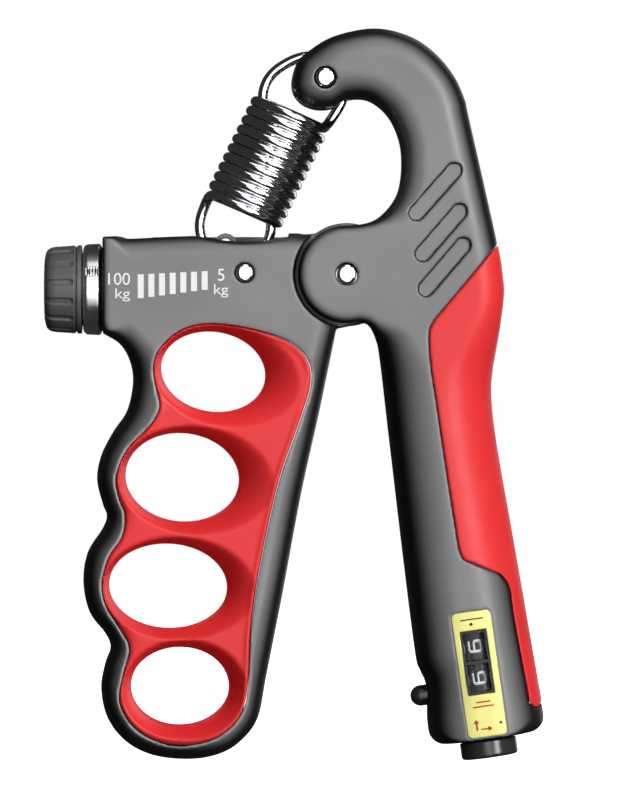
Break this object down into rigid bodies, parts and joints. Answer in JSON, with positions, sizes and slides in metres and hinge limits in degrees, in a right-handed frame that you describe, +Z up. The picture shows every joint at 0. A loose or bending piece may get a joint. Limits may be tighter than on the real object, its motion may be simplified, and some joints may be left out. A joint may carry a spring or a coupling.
{
  "type": "finger exerciser",
  "caption": "Adjustable spring hand gripper: a handle with finger holes, a hinged palm handle, an exposed coil spring, a force knob and a squeeze counter.",
  "frame": {"origin": "middle of the bounding box in X and Y, at its lowest point in Z", "axes": "+Z up along the handles with the hook at the top, +X to the right towards the palm handle, -Y the front that carries the counter"},
  "size_m": [0.1132, 0.0263, 0.1649],
  "materials": {
    "finger_grip_front_shell": "satin dark grey moulding",
    "finger_grip_back_shell": "satin dark grey moulding",
    "finger_insert_front": "soft red rubber-like plastic",
    "finger_insert_back": "soft red rubber-like plastic",
    "adjuster_collar": "bright chrome",
    "grip_rivet": "bright chrome",
    "finger_grip_screw_1": "zinc-plated steel",
    "finger_grip_screw_2": "zinc-plated steel",
    "finger_grip_screw_3": "zinc-plated steel",
    "adjuster_knob": "satin black",
    "lead_screw": "zinc-plated steel",
    "screw_clip": "zinc-plated steel",
    "slider_nut": "blackened steel",
    "slider_pin": "zinc-plated steel",
    "spring_lower_coil": "bright chrome",
    "spring_middle_coil": "bright chrome",
    "spring_upper_coil": "bright chrome",
    "palm_arm_front_shell": "satin dark grey moulding",
    "palm_arm_back_shell": "satin dark grey moulding",
    "palm_pad": "soft red rubber-like plastic",
    "pivot_pin": "bright chrome",
    "pivot_washer_front": "natural nylon",
    "pivot_washer_back": "natural nylon",
    "hook_pin": "bright chrome",
    "palm_arm_screw_1": "zinc-plated steel",
    "palm_arm_screw_2": "zinc-plated steel",
    "palm_arm_screw_3": "zinc-plated steel",
    "palm_arm_screw_4": "zinc-plated steel",
    "counter_label": "printed yellow film",
    "counter_bezel": "gloss black",
    "counter_lens": "clear plastic",
    "counter_frame": "grey nylon",
    "plunger_spring": "zinc-plated steel",
    "units_wheel": "black with white numbers",
    "tens_wheel": "black with white numbers",
    "reset_knob": "black",
    "wheel_axle": "zinc-plated steel",
    "counter_plunger": "black",
    "ratchet_pawl": "zinc-plated steel"
  },
  "bodies": {
    "finger_grip": {"finger_grip_front_shell": "finger_grip_front_shell", "finger_grip_back_shell": "finger_grip_back_shell", "finger_insert_front": "finger_insert_front", "finger_insert_back": "finger_insert_back", "adjuster_collar": "adjuster_collar", "grip_rivet": "grip_rivet", "finger_grip_screw_1": "finger_grip_screw_1", "finger_grip_screw_2": "finger_grip_screw_2", "finger_grip_screw_3": "finger_grip_screw_3"},
    "adjuster": {"adjuster_knob": "adjuster_knob", "lead_screw": "lead_screw", "screw_clip": "screw_clip"},
    "slider": {"slider_nut": "slider_nut"},
    "spring_pivot": {"slider_pin": "slider_pin"},
    "spring_lower": {"spring_lower_coil": "spring_lower_coil"},
    "spring_middle": {"spring_middle_coil": "spring_middle_coil"},
    "spring_upper": {"spring_upper_coil": "spring_upper_coil"},
    "palm_arm": {"palm_arm_front_shell": "palm_arm_front_shell", "palm_arm_back_shell": "palm_arm_back_shell", "palm_pad": "palm_pad", "pivot_pin": "pivot_pin", "pivot_washer_front": "pivot_washer_front", "pivot_washer_back": "pivot_washer_back", "hook_pin": "hook_pin", "palm_arm_screw_1": "palm_arm_screw_1", "palm_arm_screw_2": "palm_arm_screw_2", "palm_arm_screw_3": "palm_arm_screw_3", "palm_arm_screw_4": "palm_arm_screw_4", "counter_label": "counter_label", "counter_bezel": "counter_bezel", "counter_lens": "counter_lens", "counter_frame": "counter_frame", "plunger_spring": "plunger_spring"},
    "units": {"units_wheel": "units_wheel"},
    "tens": {"tens_wheel": "tens_wheel"},
    "reset": {"reset_knob": "reset_knob", "wheel_axle": "wheel_axle"},
    "plunger": {"counter_plunger": "counter_plunger", "ratchet_pawl": "ratchet_pawl"}
  },
  "joints": [
    {"name": "grip_hinge", "type": "hinge", "parent": "finger_grip", "child": "palm_arm", "pos_m": [0.0117, 0, 0.1096], "axis": [0, 1, 0], "range_deg": [0, 19], "stiffness_Nm_per_rad": 6, "springref_deg": -14.32},
    {"name": "knob_turn", "type": "hinge", "parent": "finger_grip", "child": "adjuster", "pos_m": [-0.052, 0, 0.1063], "axis": [1, 0, 0], "range_deg": [0, 2880]},
    {"name": "slider_travel", "type": "slide", "parent": "finger_grip", "child": "slider", "axis": [-1, 0, 0], "range_m": [0, 0.016]},
    {"name": "spring_swing_closing", "type": "hinge", "parent": "slider", "child": "spring_pivot", "pos_m": [-0.0156, 0, 0.1162], "axis": [0, 1, 0], "range_deg": [0, 12.9]},
    {"name": "spring_swing_force", "type": "hinge", "parent": "spring_pivot", "child": "spring_lower", "pos_m": [-0.0156, 0, 0.1162], "axis": [0, 1, 0], "range_deg": [0, 13.2]},
    {"name": "spring_stretch_closing", "type": "slide", "parent": "spring_lower", "child": "spring_middle", "axis": [0.5135, 0, 0.8581], "range_m": [0, 0.0093], "deforming": ["spring_lower_coil", "spring_middle_coil"]},
    {"name": "spring_stretch_force", "type": "slide", "parent": "spring_middle", "child": "spring_upper", "axis": [0.5135, 0, 0.8581], "range_m": [0, 0.0109], "deforming": ["spring_upper_coil"]},
    {"name": "units_turn", "type": "hinge", "parent": "palm_arm", "child": "units", "pos_m": [0.04138, -0.0049, 0.01988], "axis": [-0.1409, 0, 0.99], "continuous": true},
    {"name": "tens_turn", "type": "hinge", "parent": "palm_arm", "child": "tens", "pos_m": [0.04138, -0.0049, 0.01988], "axis": [-0.1409, 0, 0.99], "continuous": true},
    {"name": "reset_turn", "type": "hinge", "parent": "palm_arm", "child": "reset", "pos_m": [0.04138, -0.0049, 0.01988], "axis": [-0.1409, 0, 0.99], "continuous": true},
    {"name": "plunger_press", "type": "slide", "parent": "palm_arm", "child": "plunger", "axis": [0.99, 0, 0.1409], "range_m": [0, 0.002], "stiffness_N_per_m": 150, "springref_m": -0.004, "deforming": ["plunger_spring"]}
  ],
  "couplings": [
    {"joint": "slider_travel", "follows": "knob_turn", "m_per_rad": 0.00031831},
    {"joint": "spring_swing_closing", "follows": "grip_hinge", "ratio": 0.67895},
    {"joint": "spring_swing_force", "follows": "knob_turn", "ratio": 0.0045833},
    {"joint": "spring_stretch_closing", "follows": "grip_hinge", "m_per_rad": 0.028045},
    {"joint": "spring_stretch_force", "follows": "knob_turn", "m_per_rad": 0.00021685},
    {"joint": "tens_turn", "follows": "units_turn", "ratio": 0.1}
  ]
}
